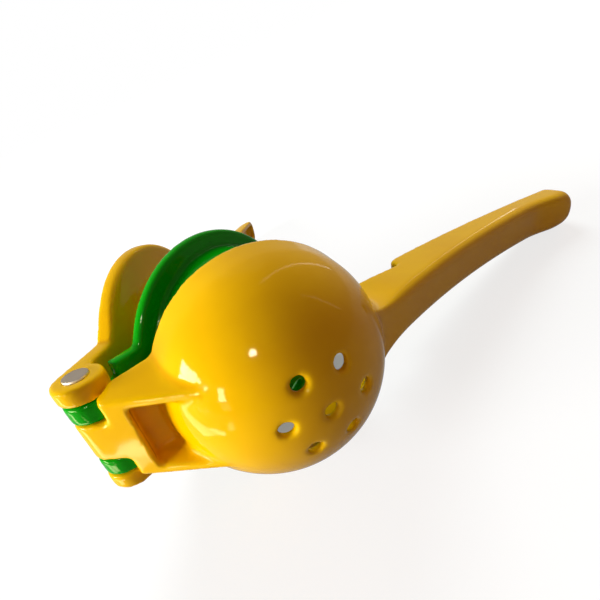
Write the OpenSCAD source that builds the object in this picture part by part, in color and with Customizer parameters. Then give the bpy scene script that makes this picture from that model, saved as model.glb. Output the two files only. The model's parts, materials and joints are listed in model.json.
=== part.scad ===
// Hinged two-size citrus squeezer, lying on its side with both levers swung open.
// Each lever is drawn closed, in the hinge frame, and then turned to its open angle:
// the hinge pin runs along Z, the handles reach along +X, and the cups hang towards -Y.

/* [Lemon bowl] */
// Distance from the hinge to the middle of the bowls
bowl_reach = 50; // [46:0.5:56]
// Outside radius of the lemon bowl
bowl_r = 35.4; // [34:0.2:37]
// Wall of the lemon bowl
bowl_wall = 2.6; // [2.4:0.1:3]
// Draft of the cup walls next to their mouths, in degrees
draft = 11.3; // [6:0.1:14]
// How far the mouth of the lemon bowl lies below the hinge line
mouth_drop = 3.8; // [3:0.1:5]
// How far the bowl's rim stands above the bracket and the handle's root
rim_stand = 0.3; // [0.2:0.1:0.6]
// Diameter of a strainer hole
hole_d = 4.1; // [3:0.1:5]
// Radius of the ring of strainer holes
hole_ring_r = 11.7; // [9:0.1:14]
// Strainer holes in the ring round the middle one
ring_holes = 6; // [4:1:8]

/* [Lime insert] */
// Gap between the lemon bowl and the lime insert nested in it
nest_gap = 1.2; // [0.8:0.1:2]
// Wall of the lime insert's cup
insert_wall = 2.5; // [2.2:0.1:3]
// How far the insert's flange stands out past the lemon bowl's rim
insert_overhang = 1.4; // [0.6:0.1:2.5]
// Thickness of the insert's flange
insert_flange_t = 4.2; // [3.4:0.1:5]
// Width across the insert's neck
insert_neck_w = 34; // [32:0.5:36]
// Reach of the lifting tab past the insert's flange
tab_len = 13; // [8:0.5:18]
// Thickness of the lifting tab
tab_t = 3; // [2.4:0.1:3.4]

/* [Press] */
// How far the press flange stays inside the lemon bowl's rim
press_inset = 0.2; // [0:0.1:1]
// Thickness of the press flange
press_flange_t = 5.4; // [4.6:0.1:6]
// Room for the peel between the plunger and the lime insert
peel_gap = 4.1; // [3:0.1:7]
// How deep the plunger stands out of the flange
plunger_depth = 20; // [16:0.5:22]
// Wall of the hollow plunger
plunger_wall = 4; // [3:0.1:5]

/* [Hinge] */
// Radius of the lemon lever's barrel on the pin
barrel_r = 6.6; // [6.2:0.1:7]
// Length of the barrel
barrel_len = 12.6; // [11:0.2:14]
// Radius of the insert's knuckles
knuckle_r = 6.6; // [6.2:0.1:7]
// Thickness of a knuckle
knuckle_t = 5.9; // [5:0.1:7]
// Radius of the press's ears
ear_r = 6.9; // [6.4:0.1:7.2]
// Thickness of an ear
ear_t = 5.2; // [4.2:0.1:6]
// Side play between neighbours on the pin
side_play = 0.2; // [0.15:0.05:0.4]
// Gap that a neighbour leaves round a knuckle, an ear or the lifting tab
swing_gap = 0.4; // [0.35:0.05:0.6]
// Gap that the insert's neck leaves round an ear
neck_gap = 1.4; // [0.8:0.1:2]
// Gap between flanges that lie on each other
flange_gap = 0.2; // [0.15:0.05:0.4]
// Diameter of the hinge pin
pin_d = 5; // [4:0.1:5.6]
// Radial clearance of the pin in its bores
pin_clearance = 0.05; // [0.02:0.01:0.1]
// Diameter of the pin's flat heads
pin_head_d = 6.8; // [6:0.1:8]
// Height of a pin head
pin_head_t = 0.6; // [0.4:0.1:1]
// Bevel round a pin head
pin_head_bevel = 0.25; // [0.1:0.05:0.35]

/* [Hinge bracket] */
// Angle at which the bracket's front falls away from the handle line
bracket_fall = 35; // [30:0.5:40]
// Width of the bracket at the hinge line, in the plane of the mouth
bracket_w = 28.3; // [27:0.1:30]
// How much a flank widens per millimetre towards the bowl
flank_taper = 0.19; // [0.1:0.01:0.22]
// How much a flank narrows per millimetre towards the front
flank_draft = 0.28; // [0.15:0.01:0.3]
// Where the bracket's shoulders end, past the hinge line
shoulder_x = 2.1; // [1.5:0.1:3]
// Web between the bracket's top and the floor of the pocket
web_t = 3.4; // [3:0.1:5]
// Distance from the hinge line to the pocket
pocket_x = 7.9; // [7.5:0.1:9]
// Width of the pocket where it opens next to the hinge
pocket_w = 20.9; // [18:0.1:21]
// How much a pocket wall closes in per millimetre towards the bowl
pocket_taper = 0.17; // [0.1:0.01:0.2]

/* [Handles] */
// Distance from the hinge to the ends of the handles
handle_reach = 217; // [200:1:225]
// Width across a handle
handle_w = 15; // [14:0.2:17]
// Side wall of a handle
handle_wall = 3.2; // [2.6:0.1:3.6]
// Back wall of a handle
handle_back_t = 4; // [3:0.1:4.6]
// Rounding of the back of the handle ends, seen from the side
tip_round = 6; // [5:0.5:7]
// Rounding of the open edge at the handle ends
tip_edge_round = 3; // [1:0.5:4]
// Rounding of the handle ends, seen from the back
tip_corner = 4.6; // [3:0.2:6]
// Radius of the flare where a handle meets its bowl or flange
flare_r = 40; // [30:1:60]
// Distance from the hinge to where the flare begins
flare_x = 92; // [89:0.5:95]
// Length of the flare
flare_run = 20; // [18:1:22]
// Distance from the hinge to the step in the lemon handle's edge
step_x = 110.5; // [109:0.5:112]
// Rounding of the steps
step_round = 3; // [1.5:0.5:4]
// Gap between the steps of the two handles
step_gap = 2.5; // [1.5:0.5:4]

/* [Lemon handle] */
// Radius of the lemon handle's hollow back
back_r = 360; // [340:5:400]
// Height of that back where it runs level
back_y = 2.4; // [1.5:0.1:3]
// Distance from the hinge to that point
back_x = 210; // [205:1:215]
// How far the back swells out at the end of the handle
swell = 2.6; // [1:0.1:3]
// Length of the swell
swell_len = 24; // [18:1:30]
// Radius of the lemon handle's open edge
edge_r = 575; // [560:5:620]
// Height of the open edge at its highest point
edge_y = 13.4; // [12.6:0.1:13.6]
// Distance from the hinge to that point
edge_x = 183; // [175:1:190]
// Height of the lowered edge next to the bowl
low_edge_y = 2.9; // [2:0.1:3]

/* [Press handle] */
// Radius of the press handle's back
press_back_r = 1500; // [1200:50:2000]
// Height of that back at its highest point
press_back_y = 19; // [18:0.1:20]
// Distance from the hinge to that point
press_back_x = 140; // [125:1:160]
// Run of the slope from the flange up to the back
press_root_run = 14; // [8:1:20]
// Height of the press handle's open edge at the step
press_edge_y = 7.6; // [7.4:0.1:8.4]
// Height of the open edge at the end of the handle
press_edge_tip_y = 10.2; // [9.8:0.1:10.8]

/* [Edges] */
// Rounding of the flanges' outer edges
flange_round = 1; // [0.6:0.1:1.4]

/* [Pose] */
// Angle between the lemon lever and the lime insert
insert_open = 26; // [10:1:40]
// Angle between the lemon lever and the press lever
press_open = 52; // [42:1:80]

/* [Hidden] */
$fn = 96;
arc_fn = 1440;
big = 400;

// Heights of the flange stack
mouth_y = -mouth_drop;
root_y = mouth_y - rim_stand;
insert_low_y = mouth_y + flange_gap;
insert_top_y = insert_low_y + insert_flange_t;
press_low_y = insert_top_y + flange_gap;
press_top_y = press_low_y + press_flange_t;

// Cups and flanges; a drafted wall dips this far into its ball, so that the two cross cleanly
wall_dip = 0.05;
rim_r = (bowl_r - wall_dip) / cos(draft);
bowl_in_r = bowl_r - bowl_wall;
insert_r = bowl_in_r - nest_gap;
insert_in_r = insert_r - insert_wall;
insert_flange_r = rim_r + insert_overhang;
press_flange_r = rim_r - press_inset;
plunger_r = insert_in_r - peel_gap;
plunger_ball_r = (plunger_r * plunger_r + plunger_depth * plunger_depth) / (2 * plunger_depth);

// Stations along the hinge pin
barrel_end = barrel_len / 2;
knuckle_start = barrel_end + side_play;
knuckle_end = knuckle_start + knuckle_t;
ear_start = knuckle_end + side_play;
ear_end = ear_start + ear_t;
pin_r = pin_d / 2;
bore_r = pin_r + pin_clearance;
relief_r = max(ear_r, knuckle_r, barrel_r) + swing_gap;
neck_end_x = bowl_reach - plunger_r;

// Handles
handle_half = handle_w / 2;
channel_w = handle_w - 2 * handle_wall;
channel_end_x = handle_reach - handle_back_t;
tab_w = channel_w - 2 * swing_gap;
tab_end_x = bowl_reach + insert_flange_r + tab_len;
swell_y = back_y - swell;
press_step_x = step_x - step_gap;
press_flange_end_x = bowl_reach + press_flange_r;

function edge_at(x) = edge_y - edge_r + sqrt(edge_r * edge_r - (x - edge_x) * (x - edge_x));
function press_back_at(x) = press_back_y - press_back_r
    + sqrt(press_back_r * press_back_r - (x - press_back_x) * (x - press_back_x));

// The squeezer lies on the insert's flange and on the corners of both handle ends
function about_pin(p, a) = [p.x * cos(a) - p.y * sin(a), p.x * sin(a) + p.y * cos(a), p.z];
corner_x = handle_reach - tip_corner;
lemon_corner = [corner_x, edge_at(corner_x), -handle_half];
press_corner = about_pin([corner_x, press_edge_tip_y, -handle_half], press_open);
flange_mid = about_pin([bowl_reach, (insert_low_y + insert_top_y) / 2, 0], insert_open);
away = (lemon_corner + press_corner) / 2 - flange_mid;
away_len = norm([away.x, away.y]);
lean = asin(insert_flange_r / norm([away_len, handle_half])) - atan(handle_half / away_len);
flange_foot = flange_mid
    + insert_flange_r * [sin(lean) * away.x / away_len, sin(lean) * away.y / away_len, -cos(lean)];
ground = cross(lemon_corner - flange_foot, press_corner - flange_foot);
up = ground / norm(ground);
lie_axis = [up.y, -up.x, 0] / norm([up.x, up.y]);
lie_angle = acos(up.z);
function lain(p) = p * cos(lie_angle) + cross(lie_axis, p) * sin(lie_angle)
    + lie_axis * (lie_axis * p) * (1 - cos(lie_angle));

// The origin is on the ground, below the middle of the squeezer's bounding box
press_back_corner = about_pin([corner_x, press_back_at(corner_x) - tip_corner, handle_half], press_open);
low_x = lain([0, 0, -ear_end]).x - ear_r;
high_x = lain([handle_reach, edge_at(handle_reach) - tip_round, handle_half - tip_corner]).x;
low_y = lain([bowl_reach, mouth_y, 0]).y - bowl_r;
high_y = lain(press_back_corner).y + tip_corner;
origin = [(low_x + high_x) / 2, (low_y + high_y) / 2, lain(flange_foot).z];

// ---- Placing ----

// Turns a closed lever about the hinge pin and lays the squeezer down
module opened(angle) {
    translate(-origin) rotate(a = lie_angle, v = lie_axis) rotate([0, 0, angle]) children();
}

// Places what is drawn on the axis of the bowls, where local +Z points out of their mouths
module on_bowl_axis(y) {
    translate([bowl_reach, y, 0]) rotate([-90, 0, 0]) children();
}

// Drives an outline along the hinge pin between two stations, on both sides of the middle
module both_sides(from, to) {
    for (side = [0, 1]) mirror([0, 0, side]) translate([0, 0, from]) linear_extrude(to - from) children();
}

// Drives an outline along the hinge pin through the middle
module across(width) {
    linear_extrude(width, center = true) children();
}

// Drives a plan, drawn in X and Z, between two heights
module upright(low, high) {
    translate([0, high, 0]) rotate([90, 0, 0]) linear_extrude(high - low) children();
}

// ---- Shared forms ----

// Solid cup with its mouth at z = 0: half a ball that runs out into a drafted wall
module cup(r, over = 0) {
    wall_r = r - wall_dip;
    rotate_extrude() intersection() {
        union() {
            circle(r);
            polygon([[0, over], [wall_r / cos(draft), over], [wall_r / cos(draft), 0],
                     wall_r * [cos(draft), -sin(draft)], [0, -wall_r * sin(draft)]]);
        }
        translate([0, -r]) square([2 * r, r + over]);
    }
}

// Flange with rounded outer edges
module flange(r, t) {
    rotate_extrude() {
        square([r - flange_round, t]);
        translate([0, flange_round]) square([r, t - 2 * flange_round]);
        for (y = [flange_round, t - flange_round]) translate([r - flange_round, y]) circle(flange_round);
    }
}

// Strainer pattern through the bottom of a cup: one hole in the middle of a ring
module strainer(r) {
    ring = [for (i = [1:ring_holes]) hole_ring_r * [cos(i * 360 / ring_holes), sin(i * 360 / ring_holes)]];
    for (place = concat([[0, 0]], ring))
        translate([place.x, place.y, -r - 1]) cylinder(d = hole_d, h = r);
}

// Everything below the plane z = z0 + slope_x * x + slope_y * y
module below(z0, slope_x, slope_y) {
    translate([0, 0, z0]) rotate([atan(slope_y * cos(atan(slope_x))), -atan(slope_x), 0])
        translate([-big / 2, -big / 2, -big]) cube(big);
}

// The space between two mirrored sloping flanks
module between_flanks(z0, slope_x, slope_y) {
    intersection() {
        below(z0, slope_x, slope_y);
        mirror([0, 0, 1]) below(z0, slope_x, slope_y);
    }
}

// Disc whose highest point is [x, y], thickened by extra
module disc_under(x, y, r, extra = 0) {
    translate([x, y - r]) circle(r + extra, $fn = arc_fn);
}

// What rounds off a corner that points towards side_x along X and side_y along Y
module corner_cut(corner, r, side_x, side_y) {
    translate(corner) mirror([side_x < 0 ? 1 : 0, 0]) mirror([0, side_y < 0 ? 1 : 0])
        translate([-r, -r]) difference() {
            square(2 * r);
            circle(r);
        }
}

// Plan of a handle: flared at its root and rounded at its end
module handle_plan(from) {
    root_x = flare_x - flare_run;
    flare_half = handle_half + flare_r;
    difference() {
        translate([from, -handle_half]) square([handle_reach - from, handle_w]);
        for (side = [-1, 1]) corner_cut([handle_reach, side * handle_half], tip_corner, 1, side);
    }
    difference() {
        translate([root_x, -flare_half]) square([flare_run, 2 * flare_half]);
        for (side = [-1, 1]) translate([flare_x, side * flare_half]) circle(flare_r, $fn = arc_fn);
    }
}

// ---- Lemon lever ----

// Side view of the lemon handle
module lemon_handle_side() {
    swell_x = handle_reach - swell_len;
    difference() {
        union() {
            difference() {
                disc_under(edge_x, edge_y, edge_r);
                disc_under(back_x, back_y, back_r);
            }
            polygon([[swell_x, back_y - 0.5], [handle_reach - tip_round, swell_y], [handle_reach, swell_y],
                     [handle_reach, edge_y - tip_round], [swell_x, edge_y - tip_round]]);
        }
        translate([handle_reach, -big]) square(2 * big);
        translate([bowl_reach - 2 * big, -big]) square(2 * big);
        corner_cut([handle_reach, swell_y], tip_round, 1, -1);
        corner_cut([handle_reach, edge_at(handle_reach)], tip_edge_round, 1, 1);
        translate([step_x - big, low_edge_y]) square(big);
        corner_cut([step_x, edge_at(step_x)], step_round, -1, 1);
    }
}

// Side view of the channel in the lemon handle
module lemon_channel_side() {
    difference() {
        translate([bowl_reach, -bowl_r]) square([channel_end_x - bowl_reach, 2 * bowl_r]);
        disc_under(back_x, back_y, back_r, handle_back_t);
        corner_cut([channel_end_x, back_y + handle_back_t], tip_round - handle_back_t, 1, -1);
    }
}

module lemon_handle() {
    difference() {
        intersection() {
            across(big) lemon_handle_side();
            upright(-bowl_r, bowl_r) handle_plan(bowl_reach);
        }
        across(channel_w) lemon_channel_side();
        on_bowl_axis(root_y) cylinder(r = insert_flange_r + swing_gap, h = bowl_r);
    }
}

// Side view of the bracket: from the barrel's front down to the bowl
module bracket_side() {
    fall = [cos(bracket_fall), -sin(bracket_fall)];
    start = barrel_r * [-sin(bracket_fall), -cos(bracket_fall)];
    foot = start + bowl_r * fall;
    polygon([start, foot, [foot.x, root_y], [0, root_y], [0, 0]]);
}

// Pocket that lightens the bracket, open at its front
module bracket_pocket() {
    opening_y = -(barrel_r + pocket_x * sin(bracket_fall)) / cos(bracket_fall);
    intersection() {
        across(bracket_w) translate([pocket_x, -bowl_r]) square([bowl_r, bowl_r + root_y - web_t]);
        between_flanks(pocket_w / 2 + pocket_taper * pocket_x + flank_draft * opening_y,
                       -pocket_taper, -flank_draft);
    }
}

module bracket() {
    difference() {
        intersection() {
            across(big) bracket_side();
            between_flanks(bracket_w / 2 - flank_draft * root_y, flank_taper, flank_draft);
        }
        bracket_pocket();
        both_sides(barrel_end, big) {
            circle(relief_r);
            translate([shoulder_x - big, -big / 2]) square(big);
        }
    }
    cylinder(r = barrel_r, h = barrel_len, center = true);
}

module lemon_lever() {
    color("gold") difference() {
        union() {
            on_bowl_axis(mouth_y) cup(bowl_r);
            bracket();
            lemon_handle();
        }
        on_bowl_axis(mouth_y) cup(bowl_in_r, 1);
        on_bowl_axis(mouth_y) strainer(bowl_r);
        cylinder(r = bore_r, h = big, center = true);
    }
}

// ---- Lime insert ----

// Plan of the tab that lifts the insert out of the lemon bowl
module lifting_tab_plan() {
    end_x = tab_end_x - tab_w / 2;
    translate([bowl_reach + insert_r, -tab_w / 2]) square([end_x - bowl_reach - insert_r, tab_w]);
    translate([end_x, 0]) circle(d = tab_w);
}

module lime_insert() {
    color("forestgreen") difference() {
        union() {
            on_bowl_axis(insert_low_y) cup(insert_r);
            on_bowl_axis(insert_low_y) flange(insert_flange_r, insert_flange_t);
            across(insert_neck_w) translate([0, insert_low_y]) square([neck_end_x, insert_flange_t]);
            both_sides(knuckle_start, knuckle_end) circle(knuckle_r);
            upright(insert_top_y - tab_t, insert_top_y) lifting_tab_plan();
        }
        across(2 * knuckle_start) translate([relief_r - big, -big / 2]) square(big);
        both_sides(knuckle_end, insert_neck_w) translate([ear_r + neck_gap - big, -big / 2]) square(big);
        on_bowl_axis(insert_low_y) cup(insert_in_r, insert_flange_t + 1);
        on_bowl_axis(insert_low_y) strainer(insert_r);
        cylinder(r = bore_r, h = big, center = true);
    }
}

// ---- Press lever ----

// The plunger's rounded end, a cap of a ball that hangs below the press flange
module plunger_cap(r) {
    on_bowl_axis(press_low_y) translate([0, 0, plunger_ball_r - plunger_depth]) sphere(r);
}

// Side view of the press handle
module press_handle_side() {
    root_x = bowl_reach + plunger_r;
    difference() {
        intersection() {
            disc_under(press_back_x, press_back_y, press_back_r);
            polygon([[root_x, press_low_y], [press_step_x, press_low_y], [press_step_x, press_edge_y],
                     [handle_reach, press_edge_tip_y], [handle_reach, press_back_y],
                     [root_x + press_root_run, press_back_y], [root_x, press_top_y]]);
        }
        corner_cut([press_step_x, press_low_y], step_round, 1, -1);
        corner_cut([handle_reach, press_back_at(handle_reach)], tip_round, 1, 1);
    }
}

// Side view of the channel in the press handle
module press_channel_side() {
    start_x = press_flange_end_x + handle_back_t;
    difference() {
        intersection() {
            disc_under(press_back_x, press_back_y, press_back_r, -handle_back_t);
            translate([start_x, -big / 2]) square([channel_end_x - start_x, big]);
        }
        corner_cut([channel_end_x, press_back_at(channel_end_x) - handle_back_t],
                   tip_round - handle_back_t, 1, 1);
    }
}

module press_handle() {
    difference() {
        intersection() {
            across(big) press_handle_side();
            upright(press_low_y, big) handle_plan(bowl_reach + plunger_r);
        }
        across(channel_w) press_channel_side();
    }
}

// Plan of the neck: straight from the hinge, then widening into the flange at 45 degrees
module press_neck_plan() {
    meet_z = (press_flange_r - flange_round * 0.3) * sin(45);
    meet_x = bowl_reach - meet_z;
    polygon([[0, -ear_end], [meet_x - meet_z + ear_end, -ear_end], [meet_x, -meet_z],
             [meet_x, meet_z], [meet_x - meet_z + ear_end, ear_end], [0, ear_end]]);
}

// Side view of the neck that carries the two ears
module press_neck_side() {
    polygon([[0, press_low_y], [neck_end_x, press_low_y], [neck_end_x, press_top_y],
             [bowl_reach - press_flange_r, press_top_y], [0, ear_r]]);
}

module press_lever() {
    color("gold") difference() {
        union() {
            intersection() {
                plunger_cap(plunger_ball_r);
                on_bowl_axis(press_low_y - plunger_depth) cylinder(r = plunger_r, h = plunger_depth);
            }
            on_bowl_axis(press_low_y) flange(press_flange_r, press_flange_t);
            difference() {
                intersection() {
                    across(big) press_neck_side();
                    upright(press_low_y, ear_r) press_neck_plan();
                }
                across(2 * ear_start) translate([relief_r - big, -big / 2]) square(big);
            }
            both_sides(ear_start, ear_end) circle(ear_r);
            press_handle();
        }
        plunger_cap(plunger_ball_r - plunger_wall);
        cylinder(r = bore_r, h = big, center = true);
    }
}

// ---- Hinge pin ----

module hinge_pin() {
    head_r = pin_head_d / 2;
    head_end = ear_end + pin_head_t;
    color("silver") {
        cylinder(r = pin_r, h = 2 * ear_end, center = true);
        for (side = [0, 1]) mirror([0, 0, side]) rotate_extrude()
            polygon([[0, ear_end - ear_t / 2], [pin_r, ear_end - ear_t / 2], [pin_r, ear_end], [head_r, ear_end],
                     [head_r, head_end - pin_head_bevel], [head_r - pin_head_bevel, head_end], [0, head_end]]);
    }
}

opened(0) lemon_lever();
opened(insert_open) lime_insert();
opened(press_open) press_lever();
opened(press_open) hinge_pin();
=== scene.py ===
"""Looks of a hinged two-size citrus squeezer: three enamelled castings on one steel rivet.

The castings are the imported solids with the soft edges, fillets and skin that sand casting and a thick
coat of enamel give them. The rivet is turned anew.
"""
import json
import logging
import math
from dataclasses import dataclass
from enum import Enum

import bmesh
import bpy
from mathutils import Euler, Matrix, Quaternion, Vector
from mathutils.kdtree import KDTree

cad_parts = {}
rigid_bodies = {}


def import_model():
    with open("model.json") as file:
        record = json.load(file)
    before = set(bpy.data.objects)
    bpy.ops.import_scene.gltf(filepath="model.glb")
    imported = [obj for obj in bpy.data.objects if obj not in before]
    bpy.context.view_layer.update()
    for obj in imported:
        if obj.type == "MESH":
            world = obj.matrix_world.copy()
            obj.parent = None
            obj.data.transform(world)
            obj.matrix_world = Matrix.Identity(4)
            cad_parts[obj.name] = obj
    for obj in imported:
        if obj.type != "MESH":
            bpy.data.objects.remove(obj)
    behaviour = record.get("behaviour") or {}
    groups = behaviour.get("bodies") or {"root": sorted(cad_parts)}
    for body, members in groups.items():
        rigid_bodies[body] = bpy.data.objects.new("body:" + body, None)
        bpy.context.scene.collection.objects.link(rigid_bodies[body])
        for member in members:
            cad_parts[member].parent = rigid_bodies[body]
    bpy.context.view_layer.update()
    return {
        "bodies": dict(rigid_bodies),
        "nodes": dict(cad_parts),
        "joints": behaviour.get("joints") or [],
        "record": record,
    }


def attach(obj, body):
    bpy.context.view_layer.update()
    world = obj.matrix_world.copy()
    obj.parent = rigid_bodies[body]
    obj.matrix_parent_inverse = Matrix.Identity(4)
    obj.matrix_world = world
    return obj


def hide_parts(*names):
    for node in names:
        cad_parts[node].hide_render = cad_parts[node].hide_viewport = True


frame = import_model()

MM = 0.001
WINDOW_LIGHT = "#FFF4DC"

log = logging.getLogger("squeezer")


# ---- Helpers ----


def linear(code: str) -> tuple[float, float, float, float]:
    """Turns an sRGB hex colour into the linear values that a shader socket takes.

    Args:
        code: The colour, as "#RRGGBB".

    Returns:
        Red, green and blue, linear, and an alpha of 1.
    """
    channels = [int(code[i : i + 2], 16) / 255 for i in (1, 3, 5)]
    red, green, blue = (c / 12.92 if c <= 0.04045 else ((c + 0.055) / 1.055) ** 2.4 for c in channels)
    return red, green, blue, 1.0


def add_node(
    tree: bpy.types.NodeTree,
    kind: str,
    inputs: dict[str | int, object] | None = None,
    **settings: object,
) -> bpy.types.Node:
    """Adds a shader node, sets it up and links its inputs.

    Args:
        tree: The material's or world's node tree.
        kind: The node's type, without "ShaderNode".
        inputs: What each input gets, by name or place: a value, or the output socket that feeds it.
        **settings: The node's own properties.

    Returns:
        The new node.
    """
    node = tree.nodes.new("ShaderNode" + kind)
    for name, value in settings.items():
        setattr(node, name, value)
    for key, value in (inputs or {}).items():
        if isinstance(value, bpy.types.NodeSocket):
            tree.links.new(value, node.inputs[key])
        else:
            node.inputs[key].default_value = value
    return node


def bare_tree(owner: bpy.types.Material | bpy.types.World) -> bpy.types.NodeTree:
    """Turns on the nodes of a material or a world, and takes out those that it starts with.

    Args:
        owner: The material or the world.

    Returns:
        Its node tree, empty.
    """
    owner.use_nodes = True
    owner.node_tree.nodes.clear()
    return owner.node_tree


def placed(name: str, data: bpy.types.ID) -> bpy.types.Object:
    """Puts a mesh, a lamp or a camera into the scene.

    Args:
        name: The object's name.
        data: What the object holds.

    Returns:
        The object, at the origin.
    """
    thing = bpy.data.objects.new(name, data)
    bpy.context.scene.collection.objects.link(thing)
    return thing


def per_metre(size_mm: float) -> float:
    """Gives the noise scale whose features are about this many millimetres across."""
    return 1 / (size_mm * MM)


def clamped(share: float) -> float:
    """Keeps a share between 0 and 1."""
    return min(max(share, 0.0), 1.0)


def eased(share: float) -> float:
    """Gives a soft step from 0 to 1."""
    share = clamped(share)
    return share * share * (3 - 2 * share)


# ---- The squeezer's own axes ----


@dataclass(frozen=True)
class HingeAxes:
    """The axes that the levers are drawn in: Z along the pin, X along the lemon handle, bowls towards -Y."""

    pin: Vector
    turn: Quaternion

    @classmethod
    def from_frame(cls, packed: dict) -> "HingeAxes":
        """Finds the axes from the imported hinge, which lies tilted because the squeezer lies down.


        Returns:
            The hinge's axes in the part.
        """
        hinge = packed["joints"][0]
        return cls(Vector(hinge["pos_m"]), Vector((0, 0, 1)).rotation_difference(Vector(hinge["axis"])))

    def matrix(self, opened: float = 0.0) -> Matrix:
        """Goes from millimetres in a closed lever to metres in the part.

        Args:
            opened: How far the lever has swung about the pin, in degrees.

        Returns:
            The transform.
        """
        swing = Matrix.Rotation(math.radians(opened), 4, "Z")
        return Matrix.Translation(self.pin) @ self.turn.to_matrix().to_4x4() @ swing @ Matrix.Scale(MM, 4)


# ---- Finishes ----


@dataclass(frozen=True)
class Enamel:
    """Stoving enamel, dipped thick over a rough sand casting: glossy, with a faint orange peel.

    The sand's own grain is too fine to show, so only the slow waves that it leaves are drawn.
    """

    name: str
    colour: str
    deep_and_shade_colour: str
    edge_colour: str
    roughness: float = 0.06
    roughness_spread: float = 0.04
    ior: float = 1.5
    specular: float = 0.16
    gloss_tint: str = "#FFF2C8"
    cloud_mm: float = 18.0
    cloud_pooling: float = 0.35
    peel_mm: float = 2.2
    peel_height_mm: float = 0.006
    sand_mm: float = 9.0
    sand_height_mm: float = 0.1

    def build(self) -> bpy.types.Material:
        """Makes the material.

        Returns:
            A gloss coat over a colour with faint deeper clouds, painted shade in the crevices and a lighter
            tone along the edges.
        """
        material = bpy.data.materials.new(self.name)
        tree = bare_tree(material)
        place = add_node(tree, "TexCoord").outputs["Object"]
        # A dipped coat is thicker in places, which gives the eye faint clouds of a deeper shade.
        cloud_scale = per_metre(self.cloud_mm)
        cloud = add_node(tree, "TexNoise", {"Vector": place, "Scale": cloud_scale, "Detail": 3.0})
        # Painted shade: near the solid's inward creases the colour turns deeper, where shade would fall.
        crevice_shade = add_node(tree, "Attribute", attribute_name="crevice_shade").outputs["Fac"]
        ridge = add_node(tree, "Attribute", attribute_name="ridge").outputs["Fac"]
        pooled = add_node(
            tree,
            "MapRange",
            {"Value": cloud.outputs["Fac"], "From Min": 0.35, "From Max": 0.7, "To Max": self.cloud_pooling},
        )
        pool_and_shade = add_node(tree, "Math", {0: pooled.outputs["Result"], 1: crevice_shade}, operation="MAXIMUM")
        base = add_node(
            tree,
            "Mix",
            {"Factor": pool_and_shade.outputs["Value"], "A": linear(self.colour), "B": linear(self.deep_and_shade_colour)},
            data_type="RGBA",
        )
        # The colour is lighter near the solid's outward edges.
        edge_lightened = add_node(
            tree,
            "Mix",
            {"Factor": ridge, "A": base.outputs["Result"], "B": linear(self.edge_colour)},
            data_type="RGBA",
        )
        # The rough casting and the orange peel make the edges of what it mirrors waver a little.
        sand = add_node(tree, "TexNoise", {"Vector": place, "Scale": per_metre(self.sand_mm), "Detail": 1.0})
        peel = add_node(tree, "TexNoise", {"Vector": place, "Scale": per_metre(self.peel_mm), "Detail": 1.0})
        waves = add_node(
            tree,
            "Bump",
            {"Height": sand.outputs["Fac"], "Distance": self.sand_height_mm * MM, "Strength": 1.0},
        )
        skin = add_node(
            tree,
            "Bump",
            {
                "Height": peel.outputs["Fac"],
                "Distance": self.peel_height_mm * MM,
                "Strength": 1.0,
                "Normal": waves.outputs["Normal"],
            },
        )
        gloss = add_node(
            tree,
            "MapRange",
            {
                "Value": cloud.outputs["Fac"],
                "From Min": 0.3,
                "From Max": 0.7,
                "To Min": self.roughness,
                "To Max": self.roughness + self.roughness_spread,
            },
        )
        # Baked enamel gives the eye a strong, even colour under one smooth and wet-looking coat.
        shader = add_node(
            tree,
            "BsdfPrincipled",
            {
                "Base Color": edge_lightened.outputs["Result"],
                "Roughness": gloss.outputs["Result"],
                "IOR": self.ior,
                "Specular IOR Level": self.specular,
                "Specular Tint": linear(self.gloss_tint),
                "Normal": skin.outputs["Normal"],
            },
        )
        add_node(tree, "OutputMaterial", {"Surface": shader.outputs["BSDF"]})
        return material


@dataclass(frozen=True)
class BrightSteel:
    """Zinc-plated mild steel, peened cold: bright, a little mottled and finely dented."""

    name: str = "peened_zinc_plated_steel"
    colour: str = "#E4DCCB"
    roughness: float = 0.3
    roughness_spread: float = 0.2
    dent_mm: float = 2.0
    dent_height_mm: float = 0.1

    def build(self) -> bpy.types.Material:
        """Makes the material.

        Returns:
            A metal that is a little mottled and dented.
        """
        material = bpy.data.materials.new(self.name)
        tree = bare_tree(material)
        place = add_node(tree, "TexCoord").outputs["Object"]
        dents = add_node(tree, "TexNoise", {"Vector": place, "Scale": per_metre(self.dent_mm), "Detail": 2.0})
        relief = add_node(
            tree, "Bump", {"Height": dents.outputs["Fac"], "Distance": self.dent_height_mm * MM}
        )
        dull = add_node(
            tree,
            "MapRange",
            {
                "Value": dents.outputs["Fac"],
                "To Min": self.roughness,
                "To Max": self.roughness + self.roughness_spread,
            },
        )
        # Hammered zinc gives the eye a pale metal that blurs what it mirrors.
        shader = add_node(
            tree,
            "BsdfPrincipled",
            {
                "Base Color": linear(self.colour),
                "Metallic": 1.0,
                "Roughness": dull.outputs["Result"],
                "Normal": relief.outputs["Normal"],
            },
        )
        add_node(tree, "OutputMaterial", {"Surface": shader.outputs["BSDF"]})
        return material


# ---- Castings ----


class Along(Enum):
    """What a true round surface is round about, as the axes that its radius is measured across."""

    POINT = (1, 1, 1)
    PIN = (1, 1, 0)
    BOWL = (1, 0, 1)


@dataclass(frozen=True)
class TrueRound:
    """A ball, a cylinder or a cone that part of a casting follows, in its closed lever's millimetres."""

    centre: tuple[float, float, float]
    radius: float
    along: Along
    slope: float = 0.0
    reach: float = 0.1

    def trued(self, place: Vector) -> Vector:
        """Moves a point that nearly lies on the surface onto it.

        Args:
            place: The point.

        Returns:
            The moved point, or the same one if it isn't within reach of the surface.
        """
        offset = place - Vector(self.centre)
        arm = Vector(step * kept for step, kept in zip(offset, self.along.value))
        error = arm.length - self.radius - self.slope * offset.y
        if abs(error) < self.reach and arm.length > 0:
            return place - arm * (error / arm.length)
        return place


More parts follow.
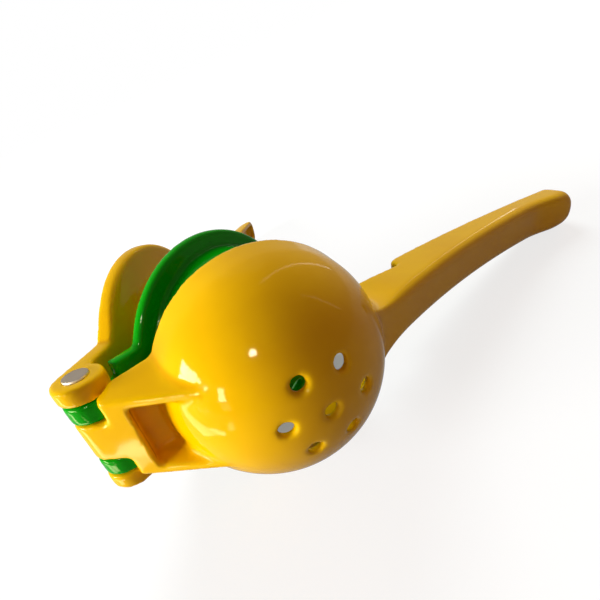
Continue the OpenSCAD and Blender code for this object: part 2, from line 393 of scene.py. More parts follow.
@dataclass(frozen=True)
class Bowl:
    """A thin cup on the bowls' axis: half a ball that runs out into a slightly drafted wall."""

    radius: float
    wall: float
    mouth_y: float
    reach: float = 50.0
    draft: float = 11.3
    dip: float = 0.05
    slack: float = 0.5

    def centre(self) -> tuple[float, float, float]:
        """Gives the ball's centre, in the closed lever's millimetres."""
        return self.reach, self.mouth_y, 0.0

    def rounds(self) -> list[TrueRound]:
        """Lists the round surfaces of the cup.

        Returns:
            The ball and the cone of the outside and of the inside.
        """
        centre = self.centre()
        slope = math.tan(math.radians(self.draft))
        found = []
        for radius in (self.radius, self.radius - self.wall):
            mouth = (radius - self.dip) / math.cos(math.radians(self.draft))
            found.append(TrueRound(centre, radius, Along.POINT))
            found.append(TrueRound(centre, mouth, Along.BOWL, slope))
        return found

    def outside(self, place: Vector) -> bool:
        """Says whether a point is on or beyond the outside of the ball."""
        return (place - Vector(self.centre())).length > self.radius - self.slack


@dataclass(frozen=True)
class Handle:
    """A channel-shaped handle whose two outer back edges are rounded off broadly.

    Attributes:
        back_r: Radius of the arc that the back follows.
        back_x: Where the arc is highest.
        back_y: How high it is there.
        side: 1 if the back faces -Y, and -1 if it faces +Y.
        start: Where the roundings begin.
        start_run: Over what length they reach their full size.
        start_share: The share of it that they begin with.
        fold: Radius of the back's edges.
        tip_fold: That radius at the end of the handle.
        tip_run: Over what length it grows to that.
        tip_drop: How much further than the solid's the end is swollen.
        back_t: Thickness of the back.
        wall: Thickness of a flank.
        half: Half the width.
        end: Where the handle ends.
        corner_loss: What share of a corner's radius is gone towards the open side.
        corner_run: Over what depth it goes.
        flare_r: Radius of the flares at the root.
        flare_x: Where the flares end.
        swell: How far the end is swollen.
        swell_step: How far the solid's ramp already stands out where it begins.
        swell_from: Where the solid's ramp begins.
        swell_to: Where it ends.
        soft_lead: How far before the ramp the soft run begins.
        soft_tail: How far after the ramp it ends.
        crown: How much fuller the back is than the solid's.
        fuller: How much fuller the upper flank is.
        slack: How far outside the handle a point still belongs to it.
    """

    back_r: float
    back_x: float
    back_y: float
    side: int
    start: float
    start_run: float = 16.0
    start_share: float = 0.3
    fold: float = 3.6
    tip_fold: float = 7.4
    tip_run: float = 15.0
    tip_drop: float = 0.0
    back_t: float = 4.0
    wall: float = 3.2
    half: float = 7.5
    end: float = 217.0
    corner_loss: float = 0.7
    corner_run: float = 7.0
    flare_r: float = 40.0
    flare_x: float = 92.0
    swell: float = 0.0
    swell_step: float = 0.5
    swell_from: float = 193.0
    swell_to: float = 211.0
    soft_lead: float = 5.0
    soft_tail: float = 3.0
    crown: float = 0.0
    fuller: float = 0.0
    slack: float = 0.6

    def rounds(self) -> list[TrueRound]:
        """Lists the round surfaces of the handle.

        Returns:
            The back, the channel's floor and the two flares at the root.
        """
        middle = (self.back_x, self.back_y - self.back_r, 0.0)
        floor = self.back_r + self.side * self.back_t
        flares = [
            TrueRound((self.flare_x, 0.0, side * (self.half + self.flare_r)), self.flare_r, Along.BOWL)
            for side in (-1, 1)
        ]
        return [TrueRound(middle, self.back_r, Along.PIN), TrueRound(middle, floor, Along.PIN), *flares]

    def back_at(self, x: float) -> float:
        """Gives the height of the solid's back at a distance from the hinge.

        Args:
            x: The distance.

        Returns:
            The height, with the straight ramp of the swelling end.
        """
        height = self.back_y - self.back_r + math.sqrt(self.back_r**2 - (self.back_x - x) ** 2)
        if self.swell and x > self.swell_from:
            share = clamped((x - self.swell_from) / (self.swell_to - self.swell_from))
            ramp = self.back_y - self.swell_step - (self.swell - self.swell_step) * share
            height = min(height, ramp)
        return height

    def half_at(self, x: float) -> float:
        """Gives half the width of the handle at a distance from the hinge.

        Args:
            x: The distance.

        Returns:
            Half the width.
        """
        if x >= self.flare_x:
            return self.half
        return self.half + self.flare_r - math.sqrt(self.flare_r**2 - (self.flare_x - x) ** 2)

    def bulge_at(self, x: float) -> float:
        """Gives how far the back stands out beyond the solid's: its crown, and the soft run of the swelling.

        Args:
            x: The distance from the hinge.

        Returns:
            How far it stands out.
        """
        bulge = self.crown * eased((x - self.start) / self.start_run)
        if self.swell and x > self.swell_from - self.soft_lead:
            arc = math.sqrt(self.back_r**2 - (self.back_x - min(x, self.back_x)) ** 2)
            plain = self.back_y - self.back_r + arc
            run = self.swell_to - self.swell_from + self.soft_lead + self.soft_tail
            share = eased((x - self.swell_from + self.soft_lead) / run)
            soft = plain - (self.swell + self.tip_drop) * share
            bulge += self.back_at(x) - soft
        return bulge

    def folded(self, place: Vector) -> Vector:
        """Rounds the back's edges and the end's corners, as a ball that rolls along inside them would.

        Args:
            place: A point on the casting.

        Returns:
            The point, moved onto the ball where it stood outside it.
        """
        if place.x < self.start:
            return place
        out_back = self.side * (place.y - self.back_at(place.x))
        out_flank = self.half_at(place.x) - abs(place.z)
        if min(out_back, out_flank) < -self.slack:
            return place
        begun = eased((place.x - self.start) / self.start_run)
        # The back and the upper flank are a little fuller than the solid's, as far as its walls go.
        bulge = self.bulge_at(place.x)
        share = clamped(1 - out_back / self.back_t)
        rise = self.fuller * begun if place.z > 0 else 0.0
        spread = clamped(1 - out_flank / self.wall)
        place = place + Vector((0.0, -self.side * bulge * share, rise * spread))
        out_back += bulge * (1 - share)
        out_flank += rise * (1 - spread)
        at_tip = eased((place.x - self.end + self.tip_run) / self.tip_run)
        ball = self.fold + (self.tip_fold - self.fold) * at_tip
        ball *= self.start_share + (1 - self.start_share) * begun
        corner = ball * (1 - self.corner_loss * eased((out_back - ball) / self.corner_run))
        gaps = (corner - self.end + place.x, ball - out_back, corner - out_flank)
        short = Vector([max(gap, 0.0) for gap in gaps])
        if short.length <= corner:
            return place
        push = short * (1 - corner / short.length)
        return place + Vector((-push.x, self.side * push.y, -math.copysign(push.z, place.z)))


class CreaseMap:
    """The sharp edges of a solid, as two clouds of points: those that stand out and those that go in."""

    def __init__(self, solid: bpy.types.Mesh, sharp_degrees: float, step_mm: float = 0.15) -> None:
        """Walks along the solid's sharp edges.

        Args:
            solid: A mesh whose faces share their corners.
            sharp_degrees: The least angle between two faces that counts as sharp.
            step_mm: The distance between two points.
        """
        shell = bmesh.new()
        shell.from_mesh(solid)
        self.ridge_points: list[Vector] = []
        self.crevice_points: list[Vector] = []
        for edge in shell.edges:
            if len(edge.link_faces) != 2 or edge.calc_face_angle(0.0) < math.radians(sharp_degrees):
                continue
            start, end = (corner.co for corner in edge.verts)
            count = max(1, math.ceil((end - start).length / (step_mm * MM)))
            found = self.ridge_points if edge.is_convex else self.crevice_points
            found += [start.lerp(end, i / count) for i in range(count + 1)]
        shell.free()
        self.ridges = self.tree(self.ridge_points)
        self.crevices = self.tree(self.crevice_points)

    @staticmethod
    def tree(points: list[Vector]) -> KDTree:
        """Puts points where the nearest one can be found fast.

        Args:
            points: The points, or none.

        Returns:
            The tree that finds them.
        """
        found = KDTree(max(len(points), 1))
        for index, point in enumerate(points):
            found.insert(point, index)
        found.balance()
        return found


@dataclass
class Piece:
    """One visible piece of the squeezer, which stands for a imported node."""

    axes: HingeAxes
    node: str
    body: str
    slot: str
    opened: float

    def dress(self, name: str, mesh: bpy.types.Mesh, finish: bpy.types.Material) -> bpy.types.Object:
        """Gives a mesh its finish and lets it stand for the node.

        Args:
            name: The piece's name.
            mesh: The finished mesh, in the part's metres.
            finish: Its only material.

        Returns:
            The piece.
        """
        mesh.materials.clear()
        mesh.materials.append(finish)
        piece = placed(name, mesh)
        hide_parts(self.node)
        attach(piece, self.body)
        return piece


@dataclass
class Casting(Piece):
    """One enamelled casting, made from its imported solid.

    Attributes:
        fine_mm: Size of the first skin's squares, on which surfaces and edges are trued.
        skin_mm: Size of the last skin's squares.
        merge_mm: How near two of the solid's corners are to be one.
        sharp_degrees: The least angle between two faces that makes an edge.
        grip_share: How near an edge the fine skin snaps onto it, as a share of its squares.
        edge_passes: How often the edges are smoothed.
        edge_share: How much of that an edge itself takes.
        edge_hold_mm: How far from an edge that share holds.
        edge_run_mm: Over what distance it then grows to all.
        even_passes: How often the last skin is smoothed.
        blend_passes: How often the broad fillets are smoothed.
        blend_mm: How far from its corner a broad fillet reaches.
        blend_power: How fast it fades out.
        clear_mm: How far a broad fillet keeps away from an edge that stands out.
        clear_run_mm: Over what distance it then comes in.
        mark_mm: How far from an edge its mark has faded out.
    """

    fine_mm: float = 0.38
    skin_mm: float = 0.58
    merge_mm: float = 0.002
    sharp_degrees: float = 24.0
    grip_share: float = 0.8
    edge_passes: int = 36
    edge_share: float = 0.6
    edge_hold_mm: float = 1.0
    edge_run_mm: float = 2.0
    even_passes: int = 6
    blend_passes: int = 34
    blend_mm: float = 3.4
    blend_power: float = 0.7
    clear_mm: float = 0.6
    clear_run_mm: float = 2.4
    mark_mm: float = 1.5

    def rounds(self) -> list[TrueRound]:
        """Gives the true round surfaces of the casting."""
        return []

    def folded(self, place: Vector) -> Vector:
        """Gives a point its place on the broadly rounded edges."""
        return place

    def blended(self, place: Vector) -> float:
        """Says how much of a broad fillet there is about a crease point: from 0 to 1."""
        return 0.0

    def build(self, finish: bpy.types.Material) -> bpy.types.Object:
        """Makes the casting and dresses it.

        Args:
            finish: The enamel.

        Returns:
            The piece that stands for the node.
        """
        solid = self.merged_solid()
        creases = CreaseMap(solid, self.sharp_degrees)
        to_part = self.axes.matrix(self.opened)
        to_lever = to_part.inverted()
        fine = self.skinned(solid, self.fine_mm)
        self.true_up(fine, creases, to_part, to_lever)
        fine = self.shaped(fine, self.edge_passes, self.edge_weights(fine, creases))
        even = self.shaped(self.skinned(fine, self.skin_mm), self.even_passes)
        mesh = self.filleted(even, creases, to_lever)
        self.mark_edges(mesh, creases)
        mesh.shade_smooth()
        return self.dress(self.node + "_casting", mesh, finish)

    def merged_solid(self) -> bpy.types.Mesh:
        """Copies the node's mesh, whose triangles are loose.

        Returns:
            A copy whose triangles share their corners.
        """
        copy = frame["nodes"][self.node].data.copy()
        shell = bmesh.new()
        shell.from_mesh(copy)
        bmesh.ops.remove_doubles(shell, verts=shell.verts, dist=self.merge_mm * MM)
        shell.to_mesh(copy)
        shell.free()
        return copy

    @staticmethod
    def shaped(
        mesh: bpy.types.Mesh,
        passes: int = 0,
        weights: list[float] | None = None,
        skin: float = 0.0,
    ) -> bpy.types.Mesh:
        """Applies an even skin or a smoothing to a mesh.

        Args:
            mesh: The mesh, which is used up.
            passes: How often it is smoothed.
            weights: How much of the smoothing each vertex takes, or None for all of it.
            skin: The size of the skin's squares in millimetres, or 0 for no new skin.

        Returns:
            The new mesh.
        """
        holder = placed("holder", mesh)
        if skin:
            cover = holder.modifiers.new("skin", "REMESH")
            cover.mode = "VOXEL"
            cover.voxel_size = skin * MM
        if passes:
            smooth = holder.modifiers.new("smooth", "SMOOTH")
            smooth.factor = 0.5
            smooth.iterations = passes
            if weights is not None:
                group = holder.vertex_groups.new(name="share")
                for index, weight in enumerate(weights):
                    if weight > 0:
                        group.add([index], weight, "REPLACE")
                smooth.vertex_group = group.name
        bpy.context.view_layer.update()
        graph = bpy.context.evaluated_depsgraph_get()
        shaped = bpy.data.meshes.new_from_object(holder.evaluated_get(graph), depsgraph=graph)
        bpy.data.objects.remove(holder)
        bpy.data.meshes.remove(mesh)
        return shaped

    def skinned(self, mesh: bpy.types.Mesh, size: float) -> bpy.types.Mesh:
        """Covers a mesh with an even skin of small squares."""
        return self.shaped(mesh, skin=size)

    def true_up(self, mesh: bpy.types.Mesh, creases: CreaseMap, to_part: Matrix, to_lever: Matrix) -> None:
        """Trues the round surfaces and the sharp edges, and rounds the handle's back.

        Args:
            mesh: The fine skin, which is changed.
            creases: The solid's sharp edges.
            to_part: From the closed lever's millimetres to the part's metres.
            to_lever: The way back.
        """
        rounds = self.rounds()
        grip = self.grip_share * self.fine_mm * MM
        for corner in mesh.vertices:
            nearest, _, gap = creases.ridges.find(corner.co)
            if gap < grip:
                corner.co = to_part @ self.folded(to_lever @ nearest)
                continue
            place = to_lever @ corner.co
            for surface in rounds:
                place = surface.trued(place)
            corner.co = to_part @ self.folded(place)

    def filleted(self, mesh: bpy.types.Mesh, creases: CreaseMap, to_lever: Matrix) -> bpy.types.Mesh:
        """Fills the marked corners broadly.

        Args:
            mesh: The even skin, which is used up.
            creases: The solid's sharp edges.
            to_lever: From the part's metres to the closed lever's millimetres.

        Returns:
            The finished mesh.
        """
        joins = [point for point in creases.crevice_points if self.blended(to_lever @ point) > 0]
        if not joins:
            return mesh
        shares = [self.blended(to_lever @ point) for point in joins]
        near_joins = CreaseMap.tree(joins)
        weights: list[float] = []
        for corner in mesh.vertices:
            _, index, gap = near_joins.find(corner.co)
            near = clamped(1 - gap / MM / self.blend_mm)
            if near > 0 and self.on_outside(to_lever @ corner.co):
                _, _, ridge = creases.ridges.find(corner.co)
                free = clamped((ridge / MM - self.clear_mm) / self.clear_run_mm)
                weights.append(shares[index] * free * near**self.blend_power)
            else:
                weights.append(0.0)
        return self.shaped(mesh, self.blend_passes, weights)

    def on_outside(self, place: Vector) -> bool:
        """Says whether a point may take a broad fillet."""
        return True

    def edge_weights(self, mesh: bpy.types.Mesh, creases: CreaseMap) -> list[float]:
        """Gives each vertex its share of the edge smoothing: less close to a sharp edge, to keep its line.

        Args:
            mesh: The fine skin.
            creases: The solid's sharp edges.

        Returns:
            The shares.
        """
        weights = []
        for corner in mesh.vertices:
            gap = min(creases.ridges.find(corner.co)[2], creases.crevices.find(corner.co)[2]) / MM
            grown = clamped((gap - self.edge_hold_mm) / self.edge_run_mm)
            weights.append(self.edge_share + (1 - self.edge_share) * grown)
        return weights

    def mark_edges(self, mesh: bpy.types.Mesh, creases: CreaseMap) -> None:
        """Marks how near each vertex is to an edge that stands out and to one that goes in.

        Args:
            mesh: The finished mesh.
            creases: The solid's sharp edges.
        """
        # The mark of the inward creases drives the enamel's painted shade.
        for name, tree in (("ridge", creases.ridges), ("crevice_shade", creases.crevices)):
            values = [clamped(1 - tree.find(corner.co)[2] / MM / self.mark_mm) for corner in mesh.vertices]
            mesh.attributes.new(name, "FLOAT", "POINT").data.foreach_set("value", values)


@dataclass
class LemonLever(Casting):
    """The lower lever: the big bowl, its bracket with the hinge barrel, and the long channel handle."""

    node: str = "lemon_lever"
    body: str = "lemon_body"
    slot: str = "yellow_enamel"
    opened: float = 0.0
    skin_mm: float = 0.64
    bowl: Bowl = Bowl(radius=35.4, wall=2.6, mouth_y=-3.8)
    handle: Handle = Handle(
        back_r=360.0,
        back_x=210.0,
        back_y=2.4,
        side=1,
        start=82.0,
        swell=2.6,
        tip_drop=1.3,
        crown=0.7,
        fuller=0.8,
    )
    barrel_r: float = 6.6
    edge_r: float = 575.0
    edge_x: float = 183.0
    edge_y: float = 13.4
    rim_clear: float = 0.8
    blend_from: float = 12.0
    blend_to: float = 100.0
    handle_from: float = 60.0
    web_half: float = 11.5
    web_share: float = 0.35

    def rounds(self) -> list[TrueRound]:
        """Lists the round surfaces of the lever.

        Returns:
            The bowl, the handle's long curves, its open edge and the barrel.
        """
        edge = TrueRound((self.edge_x, self.edge_y - self.edge_r, 0.0), self.edge_r, Along.PIN)
        barrel = TrueRound((0.0, 0.0, 0.0), self.barrel_r, Along.PIN)
        return [*self.bowl.rounds(), *self.handle.rounds(), edge, barrel]

    def folded(self, place: Vector) -> Vector:
        """Gives a point its place on the handle's broadly rounded back."""
        return self.handle.folded(place)

    def on_outside(self, place: Vector) -> bool:
        """Says whether a point is outside the bowl, where the fillets are."""
        return self.bowl.outside(place) and place.y < self.bowl.mouth_y - self.rim_clear

    def blended(self, place: Vector) -> float:
        """Fills the corners where the bracket and the handle run into the bowl.

        Args:
            place: A point on a crease.

        Returns:
            How much of the broad fillet there is: less of it along the bracket's web.
        """
        if not self.on_outside(place) or not self.blend_from <= place.x <= self.blend_to:
            return 0.0
        return 1.0 if place.x > self.handle_from or abs(place.z) > self.web_half else self.web_share


@dataclass
class LimeInsert(Casting):
    """The middle piece: the small bowl, its flange, the neck with two knuckles and the lifting tab."""

    node: str = "lime_insert"
    body: str = "insert_body"
    slot: str = "green_enamel"
    opened: float = 26.0
    bowl: Bowl = Bowl(radius=31.6, wall=2.5, mouth_y=-3.6)
    flange_r: float = 37.45
    knuckle_r: float = 6.6

    def rounds(self) -> list[TrueRound]:
        """Gives the bowl, the flange and the knuckles."""
        flange = TrueRound((self.bowl.reach, 0.0, 0.0), self.flange_r, Along.BOWL)
        return [*self.bowl.rounds(), flange, TrueRound((0.0, 0.0, 0.0), self.knuckle_r, Along.PIN)]


@dataclass
class PressLever(Casting):
    """The upper lever: the hollow plunger with its flange, the forked neck and the channel handle."""

    node: str = "press_lever"
    body: str = "press_body"
    slot: str = "yellow_enamel"
    opened: float = 52.0
    handle: Handle = Handle(back_r=1500.0, back_x=140.0, back_y=19.0, side=-1, start=89.0)
    ball_r: float = 25.62
    ball_y: float = 6.42
    ball_wall: float = 4.0
    flange_r: float = 35.85
    ear_r: float = 6.9
    reach: float = 50.0

    def rounds(self) -> list[TrueRound]:
        """Lists the round surfaces of the lever.

        Returns:
            The plunger's two balls, the flange, the ears and the handle's long curves.
        """
        centre = (self.reach, self.ball_y, 0.0)
        radii = (self.ball_r, self.ball_r - self.ball_wall)
        balls = [TrueRound(centre, radius, Along.POINT) for radius in radii]
        flange = TrueRound((self.reach, 0.0, 0.0), self.flange_r, Along.BOWL)
        return [*balls, flange, TrueRound((0.0, 0.0, 0.0), self.ear_r, Along.PIN), *self.handle.rounds()]

    def folded(self, place: Vector) -> Vector:
        """Gives a point its place on the handle's broadly rounded back."""
        return self.handle.folded(place)


@dataclass
class Rivet(Piece):
    """The steel pin through all three castings, with a flat peened head on each side.

    Its hidden shank is slimmer than the solid's 2.5 mm radius, since the skins close in on their bores.
    """

    node: str = "hinge_pin"
    body: str = "press_body"
    slot: str = "rivet_steel"
    opened: float = 52.0
    shank_r: float = 2.3
    head_r: float = 3.4
    seat: float = 17.8
    head_t: float = 0.6
    round_r: float = 0.25
    round_share: float = 0.3
    dish_share: float = 0.55
    dish_edge: float = 0.05
    dish_depth: float = 0.1
    turns: int = 72
    merge_mm: float = 0.001
    sharp_degrees: float = 40.0

    def build(self, finish: bpy.types.Material) -> bpy.types.Object:
        """Spins the rivet.

        Args:
            finish: The steel.

        Returns:
            The piece that stands for the pin.
        """
        low = self.seat + self.head_t - self.round_r
        top = self.seat + self.head_t
        half = [
            (self.shank_r, 0.0),
            (self.shank_r, self.seat),
            (self.head_r, self.seat),
            (self.head_r, low),
            (self.head_r - self.round_share * self.round_r, low + (1 - self.round_share) * self.round_r),
            (self.head_r - self.round_r, top),
            (self.head_r * self.dish_share, top - self.dish_edge),
            (0.0, top - self.dish_depth),
        ]
        outline = [(radius, -height) for radius, height in reversed(half)] + half[1:]
        shell = bmesh.new()
        corners = [shell.verts.new((radius, 0.0, height)) for radius, height in outline]
        lines = [shell.edges.new(pair) for pair in zip(corners, corners[1:])]
        bmesh.ops.spin(
            shell,
            geom=corners + lines,
            cent=(0, 0, 0),
            axis=(0, 0, 1),
            angle=math.tau,
            steps=self.turns,
            use_merge=True,
            use_duplicate=False,
        )
        bmesh.ops.remove_doubles(shell, verts=shell.verts, dist=self.merge_mm)
        bmesh.ops.recalc_face_normals(shell, faces=shell.faces)
        bmesh.ops.transform(shell, matrix=self.axes.matrix(self.opened), verts=shell.verts)
        mesh = bpy.data.meshes.new("rivet")
        shell.to_mesh(mesh)
        shell.free()
        mesh.shade_smooth()
        mesh.set_sharp_from_angle(angle=math.radians(self.sharp_degrees))
        return self.dress("hinge_rivet", mesh, finish)


# ---- Studio ----


class Use(Enum):
    """What a lamp does: light the surfaces, or shine in the gloss."""

    LIGHT = (True, False)
    SHINE = (False, True)


@dataclass(frozen=True)
class Lamp:
    """A soft lamp that is aimed at the squeezer's big bowl: in degrees, metres and watts."""

    name: str
    azimuth: float
    elevation: float
    distance: float
    width: float
    height: float
    power: float
    use: Use
    roll: float = 0.0
    colour: str = "#FFFFFF"

    def build(self, target: Vector) -> bpy.types.Object:
        """Hangs the lamp.

        Args:
            target: The point that it is aimed at.

        Returns:
            The lamp.
        """
        azimuth, elevation = math.radians(self.azimuth), math.radians(self.elevation)
        flat = math.cos(elevation)
        away = Vector((math.cos(azimuth) * flat, math.sin(azimuth) * flat, math.sin(elevation)))
        turn = away.to_track_quat("Z", "Y") @ Quaternion((0, 0, 1), math.radians(self.roll))
        return self.hang(target + away * self.distance, turn)

    def hang(self, place: Vector, turn: Quaternion) -> bpy.types.Object:
        """Puts the lamp in its place.

        Args:
            place: Where it hangs.
            turn: How it is turned; it shines towards its own -Z.

        Returns:
            The lamp.
        """
        light = bpy.data.lights.new(self.name, "AREA")
        light.shape = "RECTANGLE"
        light.size = self.width
        light.size_y = self.height
        light.energy = self.power
        light.color = linear(self.colour)[:3]
        lamp = placed(self.name, light)
        lamp.location = place
        lamp.rotation_mode = "QUATERNION"
        lamp.rotation_quaternion = turn
        lamp.visible_camera = False
        lamp.visible_diffuse, lamp.visible_glossy = self.use.value
        return lamp


@dataclass(frozen=True)
class FloorGlow:
    """A patch of sun on the floor, in millimetres, which only the gloss picks up."""

    name: str
    start: tuple[float, float]
    end: tuple[float, float]
    width: float
    power: float
    height: float = 2.0
    colour: str = "#FFEFC8"

    def build(self) -> bpy.types.Object:
        """Lays the patch just above the floor.

        Returns:
            The lamp that stands for it.
        """
        start, end = (Vector((*spot, self.height)) * MM for spot in (self.start, self.end))
        along = end - start
        facing_up = Quaternion((1, 0, 0), math.pi)
        turn = Quaternion((0, 0, 1), math.atan2(along.y, along.x)) @ facing_up
        lamp = Lamp(
            self.name,
            azimuth=0.0,
            elevation=0.0,
            distance=0.0,
            width=along.length,
            height=self.width * MM,
            power=self.power,
            use=Use.SHINE,
            colour=self.colour,
        )
        return lamp.hang((start + end) / 2, turn)


@dataclass
class Studio:
    """A pale floor that runs out to white, a dim warm sky and soft lamps.

    Attributes:
        target: The middle of the big bowl's mouth, which the lamps are aimed at.
        sky: Colour of the sky as a light.
        paper: Colour of the floor's paper.
        near_white: Lift of the paper near the squeezer.
        far_white: Lift of the paper far away, and colour of the sky to look at.
        mirrored: How bright the white is in the gloss.
        floor_r: Radius of the floor in metres.
        near_mm: Where the lift begins to grow and where it is whole.
        foot_mm: Where the lift of the painted shadow strip by the bowl begins to grow and where it is whole.
        foot_shift_mm: How far the strip's middle is from the target along X and Y.
        foot_slim: The strip's width as a share of its length.
        foot_turn: How far it is turned, in degrees.
        foot_least: The least of the lift that it gets.
        lamps: The lamps.
        glows: The patches of sun.
    """

    target: Vector
    sky: str = "#543823"
    paper: str = "#868686"
    near_white: str = "#E4E4E4"
    far_white: str = "#FFFFFF"
    mirrored: float = 0.3
    floor_r: float = 6.0
    near_mm: tuple[float, float] = (120.0, 420.0)
    foot_mm: tuple[float, float] = (14.0, 44.0)
    foot_shift_mm: tuple[float, float] = (12.0, 13.0)
    foot_slim: float = 0.3
    foot_turn: float = 18.0
    foot_least: float = 0.2
    lamps: tuple[Lamp, ...] = (
        Lamp("window", 174, 12, 1.0, 0.5, 0.5, 17.5, Use.LIGHT),
        Lamp("skylight", 67, 42, 1.0, 0.5, 0.5, 8.5, Use.LIGHT, 0, "#ECFBFF"),
        Lamp("right_wall", 20, 25, 1.0, 0.5, 0.5, 2.0, Use.LIGHT, 0, "#FFD2A8"),
        Lamp("left_wall", 240, 20, 1.0, 0.5, 0.5, 1.5, Use.LIGHT, 0, "#FFDDB4"),
        Lamp("pane_a", 168, 21, 0.6, 0.19, 0.08, 2.3, Use.SHINE, -2, WINDOW_LIGHT),
        Lamp("pane_b", 184, 17, 0.6, 0.125, 0.085, 1.9, Use.SHINE, -14, WINDOW_LIGHT),
        Lamp("pane_c", 203, 15, 0.6, 0.065, 0.11, 1.1, Use.SHINE, 4, WINDOW_LIGHT),
        Lamp("pane_d", 205, 5.5, 0.6, 0.075, 0.07, 0.06, Use.SHINE, 0, WINDOW_LIGHT),
        Lamp("ceiling_spot", 241, 48, 0.6, 0.065, 0.06, 1.2, Use.SHINE),
        Lamp("door_edge", 27, 34, 0.6, 0.012, 0.75, 0.1, Use.SHINE),
        Lamp("shelf_edge", -14, 28, 0.6, 0.012, 0.36, 0.03, Use.SHINE),
    )
    glows: tuple[FloorGlow, ...] = (
        FloorGlow("sun_patch", (-440.0, 50.0), (-172.0, -92.0), 36.0, 0.22),
        FloorGlow("sun_corner", (-205.0, -92.0), (-186.0, -122.0), 26.0, 0.04),
        FloorGlow("sun_gap", (-297.0, -191.0), (-204.0, -147.0), 16.0, 0.04),
    )

    def build(self) -> None:
        """Lays the floor, lights the sky and hangs the lamps."""
        self.lay_floor()
        self.light_sky()
        for lamp in self.lamps:
            lamp.build(self.target)
        for glow in self.glows:
            glow.build()

    def looked_at(self, tree: bpy.types.NodeTree) -> bpy.types.NodeSocket:
        """Adds the nodes that tell a look from a lamp's light: by the camera, through glass or in the gloss.

        Args:
            tree: The node tree.

        Returns:
            A socket that is 1 for a look, dimmer in the gloss, and 0 for light.
        """
        path = add_node(tree, "LightPath")
        straight = add_node(
            tree,
            "Math",
            {0: path.outputs["Is Camera Ray"], 1: path.outputs["Is Transmission Ray"]},
            operation="MAXIMUM",
        )
        look = add_node(
            tree,
            "Math",
            {0: path.outputs["Is Glossy Ray"], 1: self.mirrored, 2: straight.outputs[0]},
            operation="MULTIPLY_ADD",
        )
        return look.outputs[0]

    def lay_floor(self) -> None:
        """Makes a floor that is white to look at, apart from the squeezer's shadow and a painted shadow strip
        by the big bowl.
        """
        shell = bmesh.new()
        bmesh.ops.create_circle(shell, cap_ends=True, segments=96, radius=self.floor_r)
        mesh = bpy.data.meshes.new("floor")
        shell.to_mesh(mesh)
        shell.free()
        mesh.materials.append(self.pale_paper())
        floor = placed("floor", mesh)

    def pale_paper(self) -> bpy.types.Material:
        """Makes the floor's material.

        Returns:
            A matt paper with a lift that turns it white to look at.
        """
        material = bpy.data.materials.new("matt_pale_paper")
        tree = bare_tree(material)
        # Uncoated paper gives the eye an even white with no shine, on which only shadows show.
        paper = add_node(tree, "BsdfDiffuse", {"Color": linear(self.paper)})
        place = add_node(tree, "TexCoord").outputs["Object"]
        away = add_node(tree, "VectorMath", {0: place}, operation="LENGTH")
        far = self.ramp(tree, away.outputs["Value"], self.near_mm)
        white = add_node(
            tree,
            "Mix",
            {"Factor": far, "A": linear(self.near_white), "B": linear(self.far_white)},
            data_type="RGBA",
        )
        # Painted shadow: the lift is lowered on a slim strip by the big bowl.
        share = self.painted_shadow_strip(tree, place)
        strength = add_node(tree, "Math", {0: self.looked_at(tree), 1: share}, operation="MULTIPLY")
        lift = add_node(tree, "Emission", {"Color": white.outputs["Result"], "Strength": strength.outputs[0]})
        both = add_node(tree, "AddShader", {0: paper.outputs["BSDF"], 1: lift.outputs["Emission"]})
        add_node(tree, "OutputMaterial", {"Surface": both.outputs["Shader"]})
        return material

    def painted_shadow_strip(self, tree: bpy.types.NodeTree, place: bpy.types.NodeSocket) -> bpy.types.NodeSocket:
        """Lowers the lift on a slim strip by the big bowl, a painted shadow fixed on the floor, so that its
        strainer holes look into shade.

        Args:
            tree: The paper's node tree.
            place: The place on the floor.

        Returns:
            The socket of the share of the lift that is left.
        """
        shift_x, shift_y = self.foot_shift_mm
        strip = add_node(
            tree,
            "Mapping",
            {
                "Vector": place,
                "Location": (self.target.x + shift_x * MM, self.target.y + shift_y * MM, 0.0),
                "Rotation": (0.0, 0.0, math.radians(self.foot_turn)),
                "Scale": (1.0, self.foot_slim, 1.0),
            },
            vector_type="TEXTURE",
        )
        from_foot = add_node(tree, "VectorMath", {0: strip.outputs["Vector"]}, operation="LENGTH")
        grown = self.ramp(tree, from_foot.outputs["Value"], self.foot_mm)
        return add_node(tree, "Math", {0: grown, 1: self.foot_least}, operation="MAXIMUM").outputs[0]

    @staticmethod
    def ramp(
        tree: bpy.types.NodeTree, distance: bpy.types.NodeSocket, reach_mm: tuple[float, float]
    ) -> bpy.types.NodeSocket:
        """Adds a soft step from 0 to 1 over a range of distances.

        Args:
            tree: The node tree.
            distance: The distance.
            reach_mm: Where the step begins and ends.

        Returns:
            The step's socket.
        """
        step = add_node(
            tree,
            "MapRange",
            {"Value": distance, "From Min": reach_mm[0] * MM, "From Max": reach_mm[1] * MM},
            interpolation_type="SMOOTHSTEP",
        )
        return step.outputs["Result"]

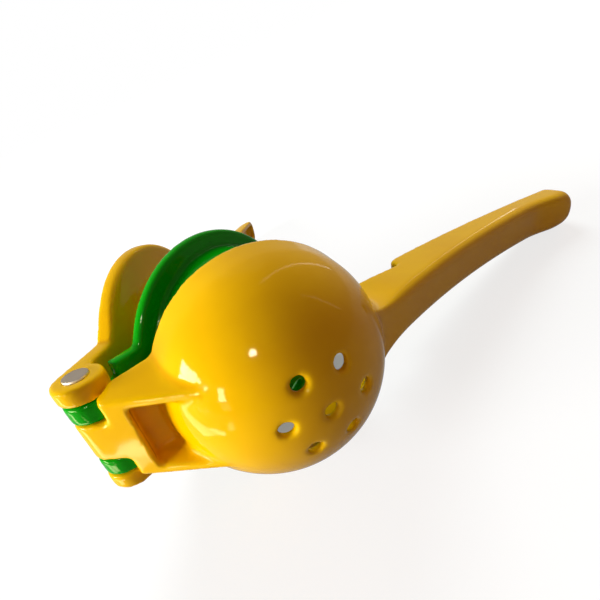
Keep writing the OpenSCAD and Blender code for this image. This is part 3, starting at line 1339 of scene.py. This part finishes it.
    def light_sky(self) -> None:
        """Makes a world that is white to look at, and dim and warm as a light."""
        world = bpy.data.worlds.new("sky")
        bpy.context.scene.world = world
        tree = bare_tree(world)
        tint = add_node(
            tree,
            "Mix",
            {"Factor": self.looked_at(tree), "A": linear(self.sky), "B": linear(self.far_white)},
            data_type="RGBA",
        )
        glow = add_node(tree, "Background", {"Color": tint.outputs["Result"], "Strength": 1.0})
        add_node(tree, "OutputWorld", {"Surface": glow.outputs["Background"]})


@dataclass
class Viewpoint:
    """The camera, placed in the hinge's own axes so that it keeps its view of the hinge."""

    axes: HingeAxes
    place_mm: tuple[float, float, float] = (19.25, -99.67, 58.44)
    turn_degrees: tuple[float, float, float] = (57.41, 12.12, -30.48)
    lens_mm: float = 21.96
    sensor_mm: float = 36.0
    shift_up: float = 0.1
    near_m: float = 0.01
    far_m: float = 20.0

    def build(self) -> None:
        """Sets the camera up."""
        data = bpy.data.cameras.new("camera")
        data.sensor_width = self.sensor_mm
        data.lens = self.lens_mm
        data.shift_y = self.shift_up
        data.clip_start = self.near_m
        data.clip_end = self.far_m
        camera = placed("camera", data)
        camera.location = self.axes.matrix() @ Vector(self.place_mm)
        camera.rotation_mode = "QUATERNION"
        turned = Euler([math.radians(angle) for angle in self.turn_degrees]).to_quaternion()
        camera.rotation_quaternion = self.axes.turn @ turned
        bpy.context.scene.camera = camera


def main() -> None:
    """Builds the squeezer and its studio."""
    logging.basicConfig(level=logging.INFO, format="%(name)s: %(message)s")
    bpy.context.scene.view_settings.view_transform = "Standard"
    axes = HingeAxes.from_frame(frame)
    Viewpoint(axes).build()
    yellow = Enamel(
        "yellow_stoving_enamel", colour="#F4BE00", deep_and_shade_colour="#E2A200", edge_colour="#F8C600"
    ).build()
    green = Enamel(
        "green_stoving_enamel", colour="#00A208", deep_and_shade_colour="#008404", edge_colour="#00AC0A"
    ).build()
    lemon_lever = LemonLever(axes)
    pieces = (
        lemon_lever.build(yellow),
        LimeInsert(axes).build(green),
        PressLever(axes).build(yellow),
        Rivet(axes).build(BrightSteel().build()),
    )
    for piece in pieces:
        log.info("%s: %d faces", piece.name, len(piece.data.polygons))
    Studio(axes.matrix() @ Vector(lemon_lever.bowl.centre())).build()


if __name__ == "__main__":
    main()
